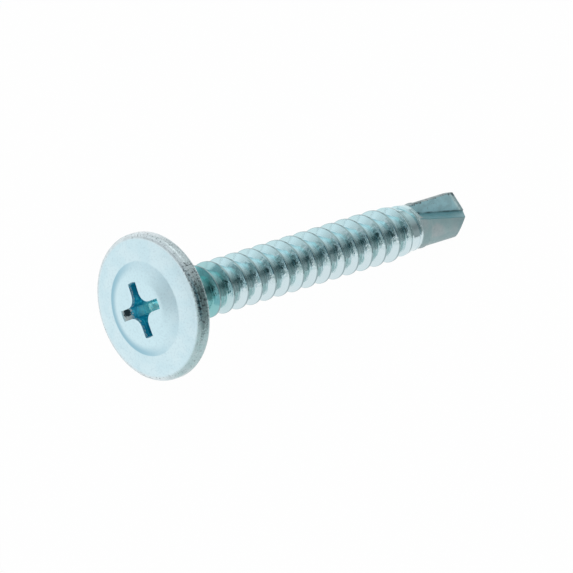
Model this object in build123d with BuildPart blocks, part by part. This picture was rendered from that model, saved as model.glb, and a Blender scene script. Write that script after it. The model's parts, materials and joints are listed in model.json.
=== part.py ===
# Self-drilling screw, 4.2 mm, with a pressed-washer head, a cross recess and a two-fluted drill point.
# It is one solid, as it is forged and rolled from a single wire.
# It is drawn upright first. Z runs along its axis, the bearing face under the head is at Z = 0, the head
# is below it and the drill point above, and one thread crest passes +X where the thread reaches full
# height. Then it is laid down as a loose screw comes to rest, on the rim of its head and on the two edges
# of one flute, with its point towards +X. The origin is on the surface it lies on, under the middle of
# its bounding box. Lengths are in millimetres and angles in degrees.
import os
from math import acos, asin, atan2, ceil, cos, degrees, hypot, radians, sin, sqrt, tan

from build123d import *

# Head: a thin flange with a low round button in the middle
head_diameter = 10.96
head_height = 1.91
crown_fall = 0.05
button_edge_diameter = 4.3
button_foot_diameter = 7.04
flange_foot_thickness = 1.4
flange_shoulder_diameter = 8.8
flange_shoulder_thickness = 1.3
flange_edge_thickness = 1.02
button_edge_radius = 1.5
button_foot_radius = 0.4
flange_shoulder_radius = 5.0
rim_front_radius = 0.36
rim_back_radius = 0.38

# Cross recess: two crossed wings with rounded roots, inside the cone and the pointed floor of the punch
recess_angle = 11.5
recess_diameter = 4.22
recess_slope = 26.5
recess_floor_diameter = 2.3
recess_floor_angle = 138.0
wing_width = 0.8
wing_draft = 2.9
wing_root_radius = 0.82
wing_root_slope = 14.0

# Shank and rolled thread. The wire's own diameter is left on the neck and on a collar behind the point
length_under_head = 30.9
wire_diameter = 3.44
neck_length = 0.4
neck_radius = 0.35
thread_diameter = 4.04
root_diameter = 3.0
thread_pitch = 1.4
thread_angle = 60.0
crest_width = 0.12
thread_full_height = 0.95
run_in_turns = 1.2
run_in_angle = 12.0
run_out_turns = 1.5
run_out_angle = 8.0

# Drill point
drill_diameter = 3.3
lip_angle = 33.6
lip_lead = 0.086
flute_runout_radius = 0.7
flute_slant = 10.0
flute_lean = 6.0
web_thickness = 0.06
point_angle = 114.0
relief_angle = 40.5

# Distances back from the tip to where the crest starts to taper, the groove starts to run out, the thread
# ends, the flutes start, and the ridge that the pointing dies pinch up stands
taper_to_tip = 8.2
run_out_to_tip = 7.6
thread_end_to_tip = 5.7
flute_length = 5.66
pinch_ridge_to_tip = 4.9
pinch_ridge_width = 0.6
pinch_ridge_rise = 0.07

# Cutting tools start this far outside the metal they cut, and the groove's takes this many turns at most
overcut = 1.0
groove_overcut = 0.05
groove_turns_limit = 1.75

head_radius = head_diameter / 2
wire_radius = wire_diameter / 2
thread_radius = thread_diameter / 2
root_radius = root_diameter / 2
drill_radius = drill_diameter / 2
taper_start = length_under_head - taper_to_tip
thread_end = length_under_head - thread_end_to_tip
flute_start = length_under_head - flute_length
pinch_ridge_height = length_under_head - pinch_ridge_to_tip

# Head and the plain neck under it, before the recess
with BuildPart() as head:
    with BuildSketch(Plane.XZ):
        with BuildLine():
            head_outline = FilletPolyline(
                (0, -head_height),
                (button_edge_diameter / 2, crown_fall - head_height),
                (button_foot_diameter / 2, -flange_foot_thickness),
                (flange_shoulder_diameter / 2, -flange_shoulder_thickness),
                (head_radius, -flange_edge_thickness),
                (head_radius, 0),
                (wire_radius, 0),
                (wire_radius, neck_length),
                radius=(
                    button_edge_radius,
                    button_foot_radius,
                    flange_shoulder_radius,
                    rim_front_radius,
                    rim_back_radius,
                    neck_radius,
                ),
            )
            Polyline(head_outline @ 1, (0, neck_length), head_outline @ 0)
        make_face()
    revolve(axis=Axis.Z)

# Recess cutter. The wings are drawn longer than they are cut, and the punch's own outline ends them
recess_spread = tan(radians(recess_slope))
recess_top_radius = recess_diameter / 2 + overcut * recess_spread
recess_floor_radius = recess_floor_diameter / 2
wing_depth = (recess_diameter - recess_floor_diameter) / 2 / recess_spread
recess_depth = wing_depth + recess_floor_radius / tan(radians(recess_floor_angle / 2))


def cross(depth):
    """Outline of the crossed wings at a depth below the top of the head."""
    with BuildSketch(Plane.XY.offset(depth - head_height)) as outline:
        with PolarLocations(0, 2, start_angle=recess_angle, angular_range=90, endpoint=True):
            Rectangle(
                2 * recess_top_radius + overcut,
                wing_width - 2 * depth * tan(radians(wing_draft)),
            )
        roots = outline.vertices().group_by(SortBy.DISTANCE)[0]
        fillet(roots, wing_root_radius - depth * tan(radians(wing_root_slope)))
    return outline.sketch


with BuildPart() as recess:
    add(cross(-overcut))
    add(cross(recess_depth))
    loft()
    with BuildSketch(Plane.XZ):
        Polygon(
            (0, -head_height - overcut),
            (recess_top_radius, -head_height - overcut),
            (recess_floor_radius, wing_depth - head_height),
            (0, recess_depth - head_height),
            align=None,
        )
    revolve(axis=Axis.Z, mode=Mode.INTERSECT)

# Flute cutter: the side outline of a flute, drawn on its rake face and carried away from it
lip_direction = Vector(1, 0, 0).rotate(Axis.Z, lip_angle)
cutting_direction = Vector(0, 1, 0).rotate(Axis.Z, lip_angle)
rake_face = Plane(cutting_direction * lip_lead, x_dir=lip_direction, z_dir=-cutting_direction)
wall_slope = tan(radians(flute_slant))
wall_lean = tan(radians(flute_lean))
flute_reach = drill_radius + overcut
with BuildPart() as flute:
    with BuildSketch(rake_face):
        with BuildLine():
            flute_outline = FilletPolyline(
                (flute_reach, flute_start),
                (web_thickness / 2 + flute_length * wall_slope, flute_start),
                (web_thickness / 2 - overcut * wall_slope, length_under_head + overcut),
                (flute_reach, length_under_head + overcut),
                radius=(flute_runout_radius, 0),
            )
            Line(flute_outline @ 1, flute_outline @ 0)
        make_face()
    extrude(amount=flute_reach, dir=cutting_direction - lip_direction * wall_lean)


def thread_groove(turns, side, rise_angle):
    """A stretch of the groove between the turns of the thread. Its middle starts at Z = 0, at +X going up
    for a side of 1 and at -X going down for a side of -1, and its floor rises from the root at the angle
    given."""
    crest_radius = thread_radius + groove_overcut
    flank_slope = tan(radians(thread_angle / 2))
    half_mouth = (thread_pitch - crest_width) / 2 + groove_overcut * flank_slope
    half_floor = half_mouth - (crest_radius - root_radius) * flank_slope
    with BuildPart() as groove:
        with BuildLine():
            floor_line = Helix(
                pitch=thread_pitch,
                height=turns * thread_pitch,
                radius=root_radius,
                direction=(0, 0, side),
                cone_angle=rise_angle,
            )
        with BuildSketch(Plane.XZ):
            Polygon(
                (side * root_radius, -half_floor),
                (side * crest_radius, -half_mouth),
                (side * crest_radius, half_mouth),
                (side * root_radius, half_floor),
                align=None,
            )
        sweep(path=floor_line, is_frenet=True)
    return groove.part


# The groove is cut at full depth in equal stretches, and runs out at both ends
groove_start = thread_full_height + thread_pitch / 2
groove_length = length_under_head - run_out_to_tip - groove_start
stretches = ceil(groove_length / (groove_turns_limit * thread_pitch))
stretch_length = groove_length / stretches
stretch_turns = stretch_length / thread_pitch
stretch_ends = [
    Location((0, 0, groove_start + n * stretch_length), (0, 0, 360 * n * stretch_turns))
    for n in range(stretches + 1)
]

# The end faces of the two lands fall away from the lips outwards and behind
lip_fall = 1 / tan(radians(point_angle / 2))
heel_fall = tan(radians(relief_angle))
end_lean = lip_direction * lip_fall - cutting_direction * heel_fall

# Threaded shank and drill point
with BuildPart() as shank:
    with BuildSketch(Plane.XZ):
        Polygon(
            (0, neck_length),
            (wire_radius, neck_length),
            (thread_radius, thread_full_height),
            (thread_radius, taper_start),
            (wire_radius, thread_end),
            (drill_radius, thread_end + wire_radius - drill_radius),
            (drill_radius, pinch_ridge_height - pinch_ridge_width / 2),
            (drill_radius + pinch_ridge_rise, pinch_ridge_height),
            (drill_radius, pinch_ridge_height + pinch_ridge_width / 2),
            (drill_radius, length_under_head),
            (0, length_under_head),
            align=None,
        )
    revolve(axis=Axis.Z)
    add(flute.part, mode=Mode.SUBTRACT)
    add(flute.part, rotation=(0, 0, 180), mode=Mode.SUBTRACT)
    for lean in (end_lean, -end_lean):
        end_face = Plane((0, 0, length_under_head), z_dir=Vector(0, 0, 1) + lean)
        split(bisect_by=end_face, keep=Keep.BOTTOM)
    with Locations(stretch_ends[0]):
        add(thread_groove(run_in_turns, -1, run_in_angle), rotation=(0, 0, 180), mode=Mode.SUBTRACT)
    for end in stretch_ends[:-1]:
        with Locations(end):
            add(thread_groove(stretch_turns, 1, 0), mode=Mode.SUBTRACT)
    with Locations(stretch_ends[-1]):
        add(thread_groove(run_out_turns, 1, run_out_angle), mode=Mode.SUBTRACT)

with BuildPart() as upright:
    add(head.part)
    add(shank.part)
    add(recess.part, mode=Mode.SUBTRACT)

# At rest the mouth of one flute faces down: a lip's corner and the heel across the flute touch the surface
heel_wall = web_thickness / 2 + drill_radius * heel_fall * wall_slope - (drill_radius - lip_lead) * wall_lean
heel_offset = heel_wall / (1 + lip_fall * wall_slope)
heel_reach = sqrt(drill_radius**2 - heel_offset**2)
lip_reach = sqrt(drill_radius**2 - lip_lead**2)
lip_height = length_under_head - lip_reach * lip_fall + lip_lead * heel_fall
heel_height = length_under_head + heel_offset * lip_fall - heel_reach * heel_fall
mouth_start = degrees(asin(lip_lead / drill_radius))
mouth_end = degrees(acos(heel_offset / drill_radius))
mouth_middle = (mouth_start + mouth_end) / 2
mouth_half = radians(mouth_end - mouth_start) / 2


def tilt_onto(height, radius):
    """Tilt of a surface that touches the rim's back rounding and passes a point of the shank."""
    rim_to_point = height + rim_back_radius
    rim_drop = head_radius - rim_back_radius - radius
    return atan2(rim_drop, rim_to_point) + asin(rim_back_radius / hypot(rim_drop, rim_to_point))


# The screw tips over until the point or, on a thick thread, the last full crest touches the surface
point_tilt = tilt_onto((lip_height + heel_height) / 2, drill_radius * cos(mouth_half))
rest_tilt = min(point_tilt, tilt_onto(taper_start, thread_radius))
rest_roll = (lip_height - heel_height) * tan(rest_tilt) / (2 * drill_radius * sin(mouth_half))
down_angle = 180 + lip_angle + mouth_middle + degrees(rest_roll)

with BuildPart() as lying:
    add(upright.part, rotation=(0, 90 + degrees(rest_tilt), -down_angle))

room = lying.part.bounding_box()
with BuildPart() as screw:
    with Locations((-room.center().X, -room.center().Y, -room.min.Z)):
        add(lying.part)

screw.part.label = "screw"
print(f"bearing face centre: {-room.center().X:.4f}, {-room.center().Y:.4f}, {-room.min.Z:.4f}")
print(f"tilt {degrees(rest_tilt):.4f}, down angle {down_angle:.4f}")

os.makedirs("parts", exist_ok=True)
export_step(screw.part, "parts/screw.step")
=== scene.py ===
import json
from math import atan2, cos, pi, radians, sin
from types import SimpleNamespace

import bpy
from mathutils import Matrix, Vector

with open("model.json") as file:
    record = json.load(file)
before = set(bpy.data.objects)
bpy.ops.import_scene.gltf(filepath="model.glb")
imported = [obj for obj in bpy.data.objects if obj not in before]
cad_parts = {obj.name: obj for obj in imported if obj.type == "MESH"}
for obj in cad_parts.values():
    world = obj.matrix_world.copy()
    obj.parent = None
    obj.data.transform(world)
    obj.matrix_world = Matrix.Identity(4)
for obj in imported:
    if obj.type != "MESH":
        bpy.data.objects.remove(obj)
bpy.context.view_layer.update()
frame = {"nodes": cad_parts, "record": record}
bpy.context.scene.view_settings.view_transform = "Standard"
print("frame loaded")

# Lengths in the dictionaries are in millimetres and angles in degrees
mm = 0.001


def addNode(tree, kind, **values):
    node = tree.nodes.new(kind)
    for name, value in values.items():
        setattr(node, name, value)
    return node


def plug(tree, socket, value):
    if isinstance(value, bpy.types.NodeSocket):
        tree.links.new(value, socket)
    else:
        socket.default_value = value


def maths(tree, operation, a, b=0.0, c=0.0, clamp=False):
    node = addNode(tree, "ShaderNodeMath", operation=operation, use_clamp=clamp)
    for socket, value in zip(node.inputs, (a, b, c)):
        plug(tree, socket, value)
    return node.outputs[0]


def vectorMaths(tree, operation, a, b=(0, 0, 0), scale=None):
    node = addNode(tree, "ShaderNodeVectorMath", operation=operation)
    plug(tree, node.inputs[0], a)
    if scale is not None:
        plug(tree, node.inputs["Scale"], scale)
        return node.outputs[0]
    plug(tree, node.inputs[1], b)
    return node.outputs["Value"] if operation in ("DOT_PRODUCT", "LENGTH") else node.outputs[0]


def rise(tree, value, start, end):  # 0 before start, 1 after end, smooth between
    node = addNode(tree, "ShaderNodeMapRange", interpolation_type="SMOOTHSTEP")
    plug(tree, node.inputs["Value"], value)
    node.inputs["From Min"].default_value = min(start, end)
    node.inputs["From Max"].default_value = max(start, end)
    node.inputs["To Min"].default_value = 0 if end > start else 1
    node.inputs["To Max"].default_value = 1 if end > start else 0
    return node.outputs["Result"]


def both(tree, *masks):  # where all the masks meet
    found = masks[0]
    for mask in masks[1:]:
        found = maths(tree, "MULTIPLY", found, mask)
    return found


def blend(tree, amount, under, over):  # colours
    node = addNode(tree, "ShaderNodeMix", data_type="RGBA")
    plug(tree, node.inputs[0], amount)
    plug(tree, node.inputs[6], under)
    plug(tree, node.inputs[7], over)
    return node.outputs[2]


def lerp(tree, amount, under, over):  # numbers
    node = addNode(tree, "ShaderNodeMix", data_type="FLOAT")
    plug(tree, node.inputs[0], amount)
    plug(tree, node.inputs[2], under)
    plug(tree, node.inputs[3], over)
    return node.outputs[0]


def grain(tree, place, scale, detail=2.0, roughness=0.5, distortion=0.0):
    node = addNode(tree, "ShaderNodeTexNoise")
    tree.links.new(place, node.inputs["Vector"])
    node.inputs["Scale"].default_value = scale
    node.inputs["Detail"].default_value = detail
    node.inputs["Roughness"].default_value = roughness
    node.inputs["Distortion"].default_value = distortion
    return node.outputs["Fac"]


def stretch(tree, x, y, z):
    node = addNode(tree, "ShaderNodeCombineXYZ")
    for socket, value in zip(node.inputs, (x, y, z)):
        plug(tree, socket, value)
    return node.outputs[0]


def heading(tree, place, angle):  # how far the place lies toward an angle round the axis
    angle = radians(angle)
    return vectorMaths(tree, "DOT_PRODUCT", place, (cos(angle), sin(angle), 0))


def toward(tree, way, angle, start, end):  # the side of the screw that faces an angle
    return rise(tree, heading(tree, way, angle), start, end)


camera = {
    "aim": (-6.7721, -3.8354, 9.33),
    "azimuth": -151.5797,
    "elevation": 50.212,
    "roll": 33.7226,
    "distance": 1500.0,
    "lens": 1307.15,
    "sensor": 36.0,
    "nearest": 100.0,
    "farthest": 100000.0,
}


def makeCamera(settings):
    data = bpy.data.cameras.new("camera")
    data.lens = settings["lens"]
    data.sensor_width = settings["sensor"]
    data.clip_start = settings["nearest"] * mm
    data.clip_end = settings["farthest"] * mm
    view = Matrix.Rotation(radians(settings["azimuth"] + 90), 4, "Z")
    view = view @ Matrix.Rotation(radians(90 - settings["elevation"]), 4, "X")
    view = view @ Matrix.Rotation(radians(settings["roll"]), 4, "Z")
    stand = bpy.data.objects.new("camera", data)
    stand.matrix_world = (
        Matrix.Translation(Vector(settings["aim"]) * mm)
        @ view
        @ Matrix.Translation((0, 0, settings["distance"] * mm))
    )
    bpy.context.scene.collection.objects.link(stand)
    bpy.context.scene.camera = stand


makeCamera(camera)
print("camera placed")

floorPaper = {
    "radius": 20000.0,
    "corners": 64,
    "colour": (0.9, 0.9, 0.9, 1),
    "shownShare": 0.98,  # how far the paper looks evenly white to the camera and in the metal
}


def makeFloor(settings):
    radius = settings["radius"] * mm
    bpy.ops.mesh.primitive_circle_add(
        vertices=settings["corners"], radius=radius, fill_type="NGON"
    )
    floor = bpy.context.object
    floor.name = "floor"
    paper = bpy.data.materials.new("whitePaper")
    paper.use_nodes = True
    tree = paper.node_tree
    tree.nodes.clear()
    path = addNode(tree, "ShaderNodeLightPath").outputs
    seen = maths(tree, "ADD", path["Is Camera Ray"], path["Is Glossy Ray"], clamp=True)
    seen = maths(tree, "ADD", seen, path["Is Transmission Ray"], clamp=True)
    lit = addNode(tree, "ShaderNodeBsdfDiffuse")
    lit.inputs["Color"].default_value = settings["colour"]
    shown = addNode(tree, "ShaderNodeEmission")
    mix = addNode(tree, "ShaderNodeMixShader")
    out = addNode(tree, "ShaderNodeOutputMaterial")
    tree.links.new(both(tree, seen, settings["shownShare"]), mix.inputs[0])
    tree.links.new(lit.outputs[0], mix.inputs[1])
    tree.links.new(shown.outputs[0], mix.inputs[2])
    tree.links.new(mix.outputs[0], out.inputs["Surface"])
    floor.data.materials.append(paper)


makeFloor(floorPaper)
print("floor laid")

# Each pool or shade of the room is azimuth, elevation, spread, and how much light it adds or takes
room = {
    "base": (0.32, 0.36, 0.36),
    "least": (0.02, 0.055, 0.06),
    "horizonFall": 0.85,
    "horizonHeight": 0.021,  # sine of the elevation over which the dip at the horizon fades
    "pools": {
        "wallPool": (129.2, 28.2, 50.7, (0.35, 0.34, 0.34)),
        "wallFoot": (130.3, -20.0, 28.0, (0.59, 0.57, 0.60)),
        "windowPool": (58.6, 36.7, 16.5, (0.69, 0.70, 0.69)),
        "frontFoot": (-130.6, -13.0, 20.1, (1.2, 1.1, 1.05)),
        "frontShade": (-146.0, 37.2, 17.1, (-0.80, -0.67, -0.60)),
        "sideShade": (-42.5, 48.5, 10.9, (-0.72, -0.76, -0.76)),
        "footShade": (173.0, 2.0, 12.0, (-0.6, -0.57, -0.55)),
    },
}


def makeRoom(settings):
    world = bpy.data.worlds.new("studioRoom")
    bpy.context.scene.world = world
    world.use_nodes = True
    tree = world.node_tree
    tree.nodes.clear()
    way = addNode(tree, "ShaderNodeTexCoord").outputs["Generated"]
    light = settings["base"]
    for azimuth, elevation, spread, strength in settings["pools"].values():
        turn, lift = radians(azimuth), radians(elevation)
        middle = (cos(lift) * cos(turn), cos(lift) * sin(turn), sin(lift))
        near = vectorMaths(tree, "DOT_PRODUCT", way, middle)
        near = maths(tree, "MULTIPLY", maths(tree, "SUBTRACT", near, 1), 1 / radians(spread) ** 2)
        near = maths(tree, "EXPONENT", near)
        light = vectorMaths(tree, "ADD", light, vectorMaths(tree, "SCALE", strength, scale=near))
    split = addNode(tree, "ShaderNodeSeparateXYZ")
    tree.links.new(way, split.inputs[0])
    height = maths(tree, "MAXIMUM", split.outputs["Z"], 0)
    dip = maths(tree, "MULTIPLY", height, -1 / settings["horizonHeight"])
    dip = maths(tree, "EXPONENT", dip)
    keep = maths(tree, "MULTIPLY_ADD", dip, -settings["horizonFall"], 1)
    light = vectorMaths(tree, "SCALE", light, scale=keep)
    light = vectorMaths(tree, "MAXIMUM", light, settings["least"])
    air = addNode(tree, "ShaderNodeBackground")
    tree.links.new(light, air.inputs["Color"])
    out = addNode(tree, "ShaderNodeOutputWorld")
    tree.links.new(air.outputs[0], out.inputs["Surface"])


# A broad soft fill from the front evens out the matt places
fill = {
    "azimuth": -120.0,
    "elevation": 50.0,
    "distance": 600.0,
    "width": 400.0,
    "brightness": 2.6,
}


def makeFill(settings):
    data = bpy.data.lights.new("softFill", "AREA")
    data.shape = "SQUARE"
    data.size = settings["width"] * mm
    data.energy = settings["brightness"] * pi * data.size**2
    lamp = bpy.data.objects.new("softFill", data)
    turn = Matrix.Rotation(radians(settings["azimuth"] + 90), 4, "Z")
    turn = turn @ Matrix.Rotation(radians(90 - settings["elevation"]), 4, "X")
    lamp.matrix_world = turn @ Matrix.Translation((0, 0, settings["distance"] * mm))
    lamp.visible_glossy = False
    lamp.visible_camera = False
    bpy.context.scene.collection.objects.link(lamp)


makeRoom(room)
makeFill(fill)
print("room lit")

# The screw's zones are found in its own frame: z runs along its axis, from 0 at the bearing face to
# the tip, and the head is below 0. A pair of numbers is where a zone starts to show and where it
# shows in full. A side is an angle round the axis with such a pair, from -1 for the far side to 1.
# A grain is the noise's scale, detail, roughness and distortion.
zinc = {
    "length": 30.9,
    "downAngle": 259.5802,  # how far it is rolled round its axis as it lies
    "cloudGrain": (0.7, 2),
    "fineGrain": (7.0, 3, 0.6),
    "head": {
        "zone": (0.02, -0.02),
        "tone": (0.635, 0.825, 0.89, 1),
        "paleTone": (0.685, 0.855, 0.91, 1),
        "paleCloud": (0.35, 0.65),
        "crown": (0.645, 0.845, 0.91, 1),
        "crownRadius": (3.3, 2.6),
        "pit": (0.46, 0.60, 0.67, 1),
        "pitGrain": (6.0, 4, 0.7),
        "pitSpan": (0.48, 0.68),
        "pitShare": 0.35,
        "paintedFootShade": (0.31, 0.55, 0.66, 1),  # painted shade in the hollow round the foot of the button
        "footTop": (-0.4, -0.8),
        "footInside": (2.6, 3.35),
        "footOutside": (3.56, 3.46),
        "hollowShadeSide": (-80.0, -0.5, 0.8),  # the side where the painted shade in the hollow is darkest
        "footLeast": 0.15,
    },
    "rim": {
        "radius": (5.0, 5.25),
        "tone": (0.70, 0.79, 0.82, 1),
        # Painted shade on the rim: darker on the side toward 142 degrees, with an edge broken up by
        # the random cloud.
        "rimPaintedShadeTone": (0.36, 0.51, 0.52, 1),
        "rimPaintedShadeAt": 142.0,
        "rimPaintedShadeCloud": 0.6,
        "rimPaintedShadeSpan": (0.8, 1.25),
        "mottle": (0.42, 0.48, 0.51, 1),
        "mottleGrain": (2.6, 4, 0.7),
        "mottleSpan": (0.42, 0.66),
        "mottleShare": 0.35,
        "paintedShadeLine": (0.22, 0.27, 0.29, 1),  # painted shade line along the shoulder, on the side toward 75 degrees
        "lineInside": (5.1, 5.18),
        "lineOutside": (5.34, 5.24),
        "lineSide": (75.0, 0.3, 0.9),
        "lineShare": 0.35,
        "speck": (0.10, 0.13, 0.14, 1),
        "speckGrain": (6.5, 4, 0.72),
        "speckSpan": (0.6, 0.68),
        "wornSide": (102.0, 0.85, 0.98),
        "wornLeast": 0.02,
        "wornMost": 0.10,
    },
    "recess": {
        "radius": (2.12, 2.08),
        "top": (-1.81, -1.77),
        "coneRadius": (1.4, 1.2),
        "bottom": (0.6, 0.5),
        "wall": (0.005, 0.38, 0.55, 1),
        "floor": (0.42, 0.98, 1.0, 1),
        "floorSpan": (-1.1, -0.2),
        "scuff": (0.14, 0.84, 1.0, 1),
        "scuffRound": 1.2,
        "scuffDown": 3.5,
        "scuffGrain": (2.2, 3, 0.6),
        "scuffSpan": (0.53, 0.62),
        "scuffShare": 0.8,
        "bare": (0.70, 0.72, 0.72, 1),
        "bareAt": -78.5,  # the one wing that is rubbed bare
        "bareReach": (1.92, 2.02),
        "dark": (0.02, 0.04, 0.05, 1),
        "darkPlace": (0.52, -1.80, -1.50),
        "darkReach": (0.60, 0.50),
        "ragged": 0.5,
        "edge": (0.70, 0.80, 0.83, 1),
        "edgeTop": (-1.64, -1.70),
        "edgeSpan": (0.45, 0.55),
    },
    "thread": {
        "pitch": 1.4,
        "crestAt": 0.95,
        "start": (0.5, 0.7),
        "end": (25.2, 25.0),
        "flank": (0.55, 0.76, 0.80, 1),
        # A warmer tint on the flanks. Part of it is real tone that varies at random with the cloud,
        # and part is a painted sheen on the side toward 165 degrees.
        "warmTintAndSheen": (0.63, 0.755, 0.79, 1),
        "paintedSheenAt": 165.0,
        "paintedSheenShare": 0.4,
        "warmSpan": (0.35, 0.85),
        "root": (0.30, 0.50, 0.51, 1),
        "rootRadius": (1.62, 1.53),
        "lineAcross": 24,
        "lineRound": 1.6,
        "lineGrain": (1.0, 3, 0.65),
        "lineSpan": (0.4, 0.62),
        # Painted highlight on the roots: a paler root colour on the side toward 48 degrees, and on
        # the side toward 105 degrees in the part of each turn past the crest.
        "bright": (0.58, 0.78, 0.83, 1),
        "paintedRootHighlightSide": (48.0, 0.6, 0.95),
        "litSide": (105.0, 0.75, 0.95),
        "litTurn": (0.56, 0.44),  # of a turn past the crest
        "litShare": 0.35,
        # Painted shade on the roots: a darker teal on the side toward 160 degrees, in the later
        # part of each turn.
        "rootPaintedShade": (0.28, 0.45, 0.455, 1),
        "rootPaintedShadeSide": (160.0, 0.86, 0.97),
        "rootPaintedShadeTurn": (0.68, 0.56),
        # Painted shade from the head: a darker teal on the first turns next to the head, fading out
        # by 6.5 mm.
        "neck": (0.24, 0.52, 0.53, 1),
        "neckStart": (0.0, 0.1),
        "neckEnd": (6.5, 3.8),
        "flankSpeckle": (0.28, 0.44, 0.43, 1),  # a darker speckled streak with bumps on the flanks, only on the side toward 100 degrees
        "flankSpeckleSide": (100.0, 0.75, 0.95),
        "flankSpeckleInside": (0.27, 0.19),
        "flankSpeckleOutside": (0.03, 0.07),
        "flankSpeckleGrain": (3.4, 2, 0.5),
        "flankSpeckleSpan": (0.58, 0.46),
        "flankSpeckleShare": 0.5,
        "crest": (0.28, 0.38, 0.40, 1),
        # Painted highlight: the crest line turns paler on the side toward 95 degrees.
        "crestPaintedHighlight": (0.44, 0.60, 0.62, 1),
        "crestPaintedHighlightSide": (95.0, 0.6, 0.95),
        "crestTurn": (0.063, 0.036),
        "crestRadius": (1.75, 1.85),
    },
    "drill": {
        "start": (25.0, 25.4),
        "lipAngle": 33.6,
        "pointSlope": 0.65,  # how far the cone of the point falls for each millimetre out
        "waveGrain": (1.5, 2),
        "rake": (0.42, 0.66, 0.72, 1),
        "land": (0.33, 0.46, 0.47, 1),
        "landRosy": (0.43, 0.49, 0.50, 1),
        "landRadius": (1.6, 1.63),
        "rosyCloud": (0.4, 0.6),
        "wall": (0.10, 0.30, 0.34, 1),  # painted shade on the wall of the flute, which is found from its slant and its lean
        "wallSlope": 0.1763,
        "wallAtTip": 5.478,
        "wallLean": 0.105,
        "wallSpan": (0.06, 0.02),
        "wallLeast": 0.6,
        # Painted highlight: a pale strip along each cutting lip near the point.
        "paintedLipHighlight": (0.62, 0.78, 0.80, 1),
        "paintedLipHighlightWidth": (0.12, 0.1),
        "paintedLipHighlightHeight": (30.45, 30.7),
        "shade": (0.24, 0.36, 0.38, 1),
        "shadeSpan": (27.2, 29.4),
        "shadeShare": 0.6,
        "cloudGrain": (1.3, 4, 0.65),
        "cloudSpan": (0.42, 0.62),
        "cloudShare": 0.35,
        # Painted shade lines: dark lines at the corner where the flute wall meets the lip, and
        # round the end of the point.
        "paintedShadeLine": (0.09, 0.16, 0.18, 1),
        "cornerSpan": (0.16, 0.06),
        "cornerWave": 0.22,
        "cornerWidth": (0.26, 0.14),
        "endHeight": (30.7, 30.84),
        "endRadius": (1.2, 1.45),
        "lipWidth": (0.12, 0.05),
        "stain": (0.14, 0.18, 0.19, 1),
        "stainGrain": (2.2, 5, 0.7, 0.6),
        "stainSpan": (0.64, 0.70),
        "stainMore": 0.14,  # along the cutting edges
        "edgeWidth": (0.5, 0.15),
        "edgeRadius": (1.45, 1.6),
    },
    "metallic": {
        "plating": 1.0,
        "recessTop": 0.55,
        "recessMiddle": 0.1,
        "recessFloor": 0.8,
        "middleSpan": (-1.0, -0.5),
        "floorSpan": (-0.1, 0.12),
        "drill": 0.25,
    },
    "roughness": {
        "thread": 0.13,
        "head": 0.38,
        "rim": 0.2,
        "recess": 0.2,
        "root": 0.17,
        "drill": 0.5,
    },
    "relief": {
        "height": 0.03,
        "plating": 0.15,
        "rim": 0.7,
        "drill": 0.8,
        "flankSpeckle": 1.2,
    },
}


def screwPlaces(tree, settings):
    mounts = {mount["name"]: mount for mount in frame["record"]["mounts"]}
    axis = Vector(mounts["drill_point"]["axis"])
    faceCentre = Vector(mounts["drill_point"]["pos_m"]) - axis * settings["length"] * mm
    turn = Matrix.Rotation(pi / 2 + atan2(-axis.z, axis.x), 3, "Y")
    turn = turn @ Matrix.Rotation(-radians(settings["downAngle"]), 3, "Z")
    mapping = addNode(tree, "ShaderNodeMapping", vector_type="TEXTURE")
    texture = addNode(tree, "ShaderNodeTexCoord")
    tree.links.new(texture.outputs["Object"], mapping.inputs["Vector"])
    mapping.inputs["Location"].default_value = faceCentre
    mapping.inputs["Rotation"].default_value = turn.to_euler()
    mapping.inputs["Scale"].default_value = (mm, mm, mm)
    place = mapping.outputs[0]
    split = addNode(tree, "ShaderNodeSeparateXYZ")
    tree.links.new(place, split.inputs[0])
    z = split.outputs["Z"]
    flat = vectorMaths(tree, "MULTIPLY", place, (1, 1, 0))
    angle = maths(tree, "ARCTAN2", split.outputs["Y"], split.outputs["X"])

    thread = settings["thread"]
    turns = maths(tree, "SUBTRACT", z, thread["crestAt"])
    turns = maths(tree, "MULTIPLY", turns, 1 / thread["pitch"])
    turns = maths(tree, "MULTIPLY_ADD", angle, -0.5 / pi, turns)
    offCrest = maths(tree, "PINGPONG", turns, 0.5)
    acrossRoot = maths(tree, "MULTIPLY", offCrest, thread["lineAcross"])
    roundRoot = maths(tree, "MULTIPLY", angle, thread["lineRound"])
    return SimpleNamespace(
        place=place,
        z=z,
        radius=vectorMaths(tree, "LENGTH", flat),
        way=vectorMaths(tree, "NORMALIZE", flat),
        angle=angle,
        offCrest=offCrest,  # 0 on a crest, 0.5 in the middle of the root
        turned=maths(tree, "FRACT", turns),  # 0 to 1 from one crest to the next
        cloud=grain(tree, place, *settings["cloudGrain"]),
        fine=grain(tree, place, *settings["fineGrain"]),
        lines=grain(tree, stretch(tree, acrossRoot, roundRoot, z), *thread["lineGrain"]),
        flankSpeckle=grain(tree, place, *thread["flankSpeckleGrain"]),
    )


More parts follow.
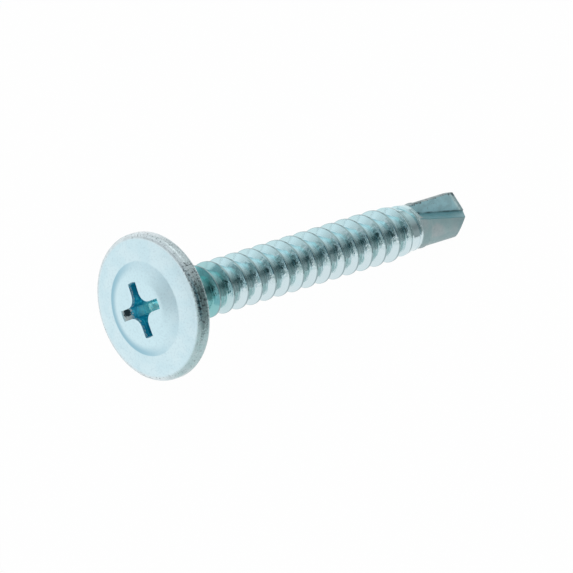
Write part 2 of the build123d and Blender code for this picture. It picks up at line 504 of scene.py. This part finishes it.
def screwZones(tree, at, settings):
    thread, recess = settings["thread"], settings["recess"]
    zones = SimpleNamespace()
    zones.head = rise(tree, at.z, *settings["head"]["zone"])
    zones.rim = both(tree, zones.head, rise(tree, at.radius, *settings["rim"]["radius"]))
    zones.recess = both(
        tree,
        rise(tree, at.radius, *recess["radius"]),
        rise(tree, at.z, *recess["top"]),
        maths(tree, "MAXIMUM", zones.head, rise(tree, at.radius, *recess["coneRadius"])),
        rise(tree, at.z, *recess["bottom"]),
    )
    zones.thread = both(tree, rise(tree, at.z, *thread["start"]), rise(tree, at.z, *thread["end"]))
    zones.root = both(tree, zones.thread, rise(tree, at.radius, *thread["rootRadius"]))
    zones.bright = toward(tree, at.way, *thread["paintedRootHighlightSide"])
    zones.flankSpeckle = both(
        tree,
        zones.thread,
        rise(tree, at.offCrest, *thread["flankSpeckleInside"]),
        rise(tree, at.offCrest, *thread["flankSpeckleOutside"]),
        toward(tree, at.way, *thread["flankSpeckleSide"]),
    )
    zones.drill = rise(tree, at.z, *settings["drill"]["start"])
    return zones


def threadColour(tree, at, zones, settings):
    # The warmer tint is partly random real tone and partly a painted sheen on one side of the
    # screw.
    warmTintAndSheen = heading(tree, at.way, settings["paintedSheenAt"])
    warmTintAndSheen = maths(tree, "MULTIPLY_ADD", warmTintAndSheen, settings["paintedSheenShare"], at.cloud)
    warmTintAndSheen = rise(tree, warmTintAndSheen, *settings["warmSpan"])
    colour = blend(tree, warmTintAndSheen, settings["flank"], settings["warmTintAndSheen"])
    lines = both(tree, zones.root, rise(tree, at.lines, *settings["lineSpan"]))
    colour = blend(tree, lines, colour, settings["root"])
    # Painted highlight on the roots, on two sides of the screw.
    colour = blend(tree, both(tree, zones.root, zones.bright), colour, settings["bright"])
    lit = both(tree, zones.root, toward(tree, at.way, *settings["litSide"]))
    lit = both(tree, lit, rise(tree, at.turned, *settings["litTurn"]), settings["litShare"])
    colour = blend(tree, lit, colour, settings["bright"])
    # Painted shade on the roots, on one side of the screw.
    rootPaintedShade = both(tree, zones.root, toward(tree, at.way, *settings["rootPaintedShadeSide"]))
    rootPaintedShade = both(tree, rootPaintedShade, rise(tree, at.turned, *settings["rootPaintedShadeTurn"]))
    colour = blend(tree, rootPaintedShade, colour, settings["rootPaintedShade"])
    # Painted shade from the head on the first turns of the thread.
    neck = both(
        tree,
        rise(tree, at.z, *settings["neckStart"]),
        rise(tree, at.z, *settings["neckEnd"]),
    )
    colour = blend(tree, neck, colour, settings["neck"])
    # Darker speckles with bumps in a band on the flanks, only on one side of the screw.
    flankSpeckle = both(tree, rise(tree, at.flankSpeckle, *settings["flankSpeckleSpan"]), zones.flankSpeckle)
    flankSpeckle = both(tree, flankSpeckle, settings["flankSpeckleShare"])
    colour = blend(tree, flankSpeckle, colour, settings["flankSpeckle"])
    # Painted highlight on the crest line, on one side of the screw.
    pale = toward(tree, at.way, *settings["crestPaintedHighlightSide"])
    crestTone = blend(tree, pale, settings["crest"], settings["crestPaintedHighlight"])
    crest = both(tree, zones.thread, rise(tree, at.offCrest, *settings["crestTurn"]))
    crest = both(tree, crest, rise(tree, at.radius, *settings["crestRadius"]))
    return blend(tree, crest, colour, crestTone)


def headColour(tree, at, zones, under, settings):
    pale = rise(tree, at.cloud, *settings["paleCloud"])
    tone = blend(tree, pale, settings["tone"], settings["paleTone"])
    crown = both(tree, zones.head, rise(tree, at.radius, *settings["crownRadius"]))
    tone = blend(tree, crown, tone, settings["crown"])
    pits = rise(tree, grain(tree, at.place, *settings["pitGrain"]), *settings["pitSpan"])
    tone = blend(tree, both(tree, pits, settings["pitShare"]), tone, settings["pit"])
    colour = blend(tree, zones.head, under, tone)
    # Painted shade in the hollow round the foot of the button, darkest on one side.
    lee = toward(tree, at.way, *settings["hollowShadeSide"])
    paintedFootShade = both(
        tree,
        rise(tree, at.z, *settings["footTop"]),
        rise(tree, at.radius, *settings["footInside"]),
        rise(tree, at.radius, *settings["footOutside"]),
        lerp(tree, lee, settings["footLeast"], 1.0),
    )
    return blend(tree, paintedFootShade, colour, settings["paintedFootShade"])


def rimColour(tree, at, zones, under, settings):
    # Painted shade on one side of the rim.
    rimPaintedShade = heading(tree, at.way, settings["rimPaintedShadeAt"])
    rimPaintedShade = maths(tree, "MULTIPLY_ADD", at.cloud, settings["rimPaintedShadeCloud"], rimPaintedShade)
    rimPaintedShade = rise(tree, rimPaintedShade, *settings["rimPaintedShadeSpan"])
    tone = blend(tree, rimPaintedShade, settings["tone"], settings["rimPaintedShadeTone"])
    mottle = grain(tree, at.place, *settings["mottleGrain"])
    mottle = both(tree, rise(tree, mottle, *settings["mottleSpan"]), settings["mottleShare"])
    tone = blend(tree, mottle, tone, settings["mottle"])
    colour = blend(tree, zones.rim, under, tone)
    # Painted shade line along the shoulder of the rim, on one side.
    paintedShadeLine = both(
        tree,
        zones.head,
        rise(tree, at.radius, *settings["lineInside"]),
        rise(tree, at.radius, *settings["lineOutside"]),
        toward(tree, at.way, *settings["lineSide"]),
        settings["lineShare"],
    )
    colour = blend(tree, paintedShadeLine, colour, settings["paintedShadeLine"])
    worn = toward(tree, at.way, *settings["wornSide"])
    worn = lerp(tree, worn, settings["wornLeast"], settings["wornMost"])
    specks = maths(tree, "ADD", grain(tree, at.place, *settings["speckGrain"]), worn)
    specks = both(tree, rise(tree, specks, *settings["speckSpan"]), zones.rim)
    return blend(tree, specks, colour, settings["speck"])


def recessColour(tree, at, zones, under, settings):
    tone = rise(tree, at.z, *settings["floorSpan"])
    tone = blend(tree, tone, settings["wall"], settings["floor"])
    roundWall = maths(tree, "MULTIPLY", at.angle, settings["scuffRound"])
    downWall = maths(tree, "MULTIPLY", at.z, settings["scuffDown"])
    scuffs = grain(tree, stretch(tree, roundWall, downWall, 0), *settings["scuffGrain"])
    scuffs = both(tree, rise(tree, scuffs, *settings["scuffSpan"]), settings["scuffShare"])
    tone = blend(tree, scuffs, tone, settings["scuff"])
    bare = heading(tree, at.place, settings["bareAt"])
    bare = maths(tree, "MULTIPLY_ADD", at.fine, settings["ragged"], bare)
    bare = rise(tree, bare, *settings["bareReach"])
    dark = vectorMaths(tree, "SUBTRACT", at.place, settings["darkPlace"])
    dark = vectorMaths(tree, "LENGTH", dark)
    dark = maths(tree, "MULTIPLY_ADD", at.fine, settings["ragged"], dark)
    dark = rise(tree, dark, *settings["darkReach"])
    tone = blend(tree, bare, tone, blend(tree, dark, settings["bare"], settings["dark"]))
    colour = blend(tree, zones.recess, under, tone)
    edge = both(tree, zones.recess, rise(tree, at.z, *settings["edgeTop"]))
    edge = both(tree, edge, rise(tree, at.fine, *settings["edgeSpan"]))
    return blend(tree, edge, colour, settings["edge"])


def drillColour(tree, at, zones, under, settings):
    # Both flutes are found from their lips, so one side of the drill is turned onto the other
    lip = settings["lipAngle"]
    offLip = heading(tree, at.place, lip + 90)
    side = maths(tree, "SIGN", offLip)
    alongLip = maths(tree, "MULTIPLY", side, heading(tree, at.place, lip))
    offLip = maths(tree, "ABSOLUTE", offLip)
    wall = maths(tree, "MULTIPLY_ADD", at.z, -settings["wallSlope"], settings["wallAtTip"])
    wall = maths(tree, "MULTIPLY_ADD", offLip, -settings["wallLean"], wall)
    offWall = maths(tree, "ABSOLUTE", maths(tree, "SUBTRACT", alongLip, wall))
    wave = grain(tree, at.place, *settings["waveGrain"])

    isLand = rise(tree, at.radius, *settings["landRadius"])
    rosy = rise(tree, at.cloud, *settings["rosyCloud"])
    landTone = blend(tree, rosy, settings["land"], settings["landRosy"])
    tone = blend(tree, isLand, settings["rake"], landTone)
    # Painted shade on the flute wall, broken up by the wave noise.
    onWall = both(tree, rise(tree, offWall, *settings["wallSpan"]), zones.drill)
    onWall = both(tree, onWall, lerp(tree, wave, 1.0, settings["wallLeast"]))
    tone = blend(tree, onWall, tone, settings["wall"])
    # Painted highlight along the cutting lips near the point.
    paintedLipHighlight = maths(tree, "MULTIPLY_ADD", alongLip, settings["pointSlope"], at.z)
    paintedLipHighlight = rise(tree, paintedLipHighlight, *settings["paintedLipHighlightHeight"])
    paintedLipHighlight = both(tree, rise(tree, offLip, *settings["paintedLipHighlightWidth"]), paintedLipHighlight)
    tone = blend(tree, paintedLipHighlight, tone, settings["paintedLipHighlight"])
    shade = both(tree, rise(tree, at.z, *settings["shadeSpan"]), settings["shadeShare"], isLand)
    tone = blend(tree, shade, tone, settings["shade"])
    cloud = rise(tree, grain(tree, at.place, *settings["cloudGrain"]), *settings["cloudSpan"])
    tone = blend(tree, both(tree, cloud, settings["cloudShare"]), tone, settings["shade"])
    # Painted shade line at the corner where the flute wall meets the lip.
    corner = maths(tree, "MULTIPLY_ADD", wave, settings["cornerWave"], offLip)
    corner = rise(tree, corner, *settings["cornerWidth"])
    corner = both(tree, rise(tree, offWall, *settings["cornerSpan"]), corner)
    tone = blend(tree, corner, tone, settings["paintedShadeLine"])
    # Painted shade line round the end of the point.
    end = maths(tree, "MULTIPLY_ADD", at.radius, settings["pointSlope"], at.z)
    end = rise(tree, end, *settings["endHeight"])
    outer = rise(tree, at.radius, *settings["endRadius"])
    outer = maths(tree, "MAXIMUM", outer, rise(tree, offLip, *settings["lipWidth"]))
    tone = blend(tree, both(tree, end, outer), tone, settings["paintedShadeLine"])
    edge = both(
        tree,
        rise(tree, offLip, *settings["edgeWidth"]),
        rise(tree, at.radius, *settings["edgeRadius"]),
    )
    stain = grain(tree, at.place, *settings["stainGrain"])
    stain = maths(tree, "MULTIPLY_ADD", edge, settings["stainMore"], stain)
    stain = rise(tree, stain, *settings["stainSpan"])
    tone = blend(tree, stain, tone, settings["stain"])
    return blend(tree, zones.drill, under, tone)


def screwMetallic(tree, at, zones, settings):
    middle = rise(tree, at.z, *settings["middleSpan"])
    inside = lerp(tree, middle, settings["recessTop"], settings["recessMiddle"])
    floor = rise(tree, at.z, *settings["floorSpan"])
    inside = lerp(tree, floor, inside, settings["recessFloor"])
    metallic = lerp(tree, zones.recess, settings["plating"], inside)
    return lerp(tree, zones.drill, metallic, settings["drill"])


def screwRoughness(tree, zones, settings):
    roughness = lerp(tree, zones.head, settings["thread"], settings["head"])
    roughness = lerp(tree, zones.rim, roughness, settings["rim"])
    roughness = lerp(tree, zones.recess, roughness, settings["recess"])
    roughness = lerp(tree, zones.root, roughness, settings["root"])
    return lerp(tree, zones.drill, roughness, settings["drill"])


def screwRelief(tree, at, zones, settings):
    share = lerp(tree, zones.rim, settings["plating"], settings["rim"])
    share = lerp(tree, zones.drill, share, settings["drill"])
    height = maths(tree, "MULTIPLY", at.fine, share)
    # The streak bumps are left out where the root highlight is painted.
    lines = both(tree, at.lines, zones.root, maths(tree, "SUBTRACT", 1, zones.bright))
    height = maths(tree, "ADD", height, lines)
    flankSpeckle = both(tree, at.flankSpeckle, zones.flankSpeckle)
    height = maths(tree, "MULTIPLY_ADD", flankSpeckle, settings["flankSpeckle"], height)
    bump = addNode(tree, "ShaderNodeBump")
    bump.inputs["Strength"].default_value = 1
    bump.inputs["Distance"].default_value = settings["height"] * mm
    tree.links.new(height, bump.inputs["Height"])
    return bump.outputs[0]


def zincSteel(settings):
    steel = bpy.data.materials.new("zincPlate")
    steel.use_nodes = True
    tree = steel.node_tree
    skin = tree.nodes["Principled BSDF"].inputs
    at = screwPlaces(tree, settings)
    zones = screwZones(tree, at, settings)
    colour = threadColour(tree, at, zones, settings["thread"])
    colour = headColour(tree, at, zones, colour, settings["head"])
    colour = rimColour(tree, at, zones, colour, settings["rim"])
    colour = recessColour(tree, at, zones, colour, settings["recess"])
    colour = drillColour(tree, at, zones, colour, settings["drill"])
    tree.links.new(colour, skin["Base Color"])
    tree.links.new(screwMetallic(tree, at, zones, settings["metallic"]), skin["Metallic"])
    tree.links.new(screwRoughness(tree, zones, settings["roughness"]), skin["Roughness"])
    tree.links.new(screwRelief(tree, at, zones, settings["relief"]), skin["Normal"])
    return steel


screw = frame["nodes"]["screw"]
screw.data.materials.clear()
screw.data.materials.append(zincSteel(zinc))
print("screw dressed", len(screw.data.polygons))
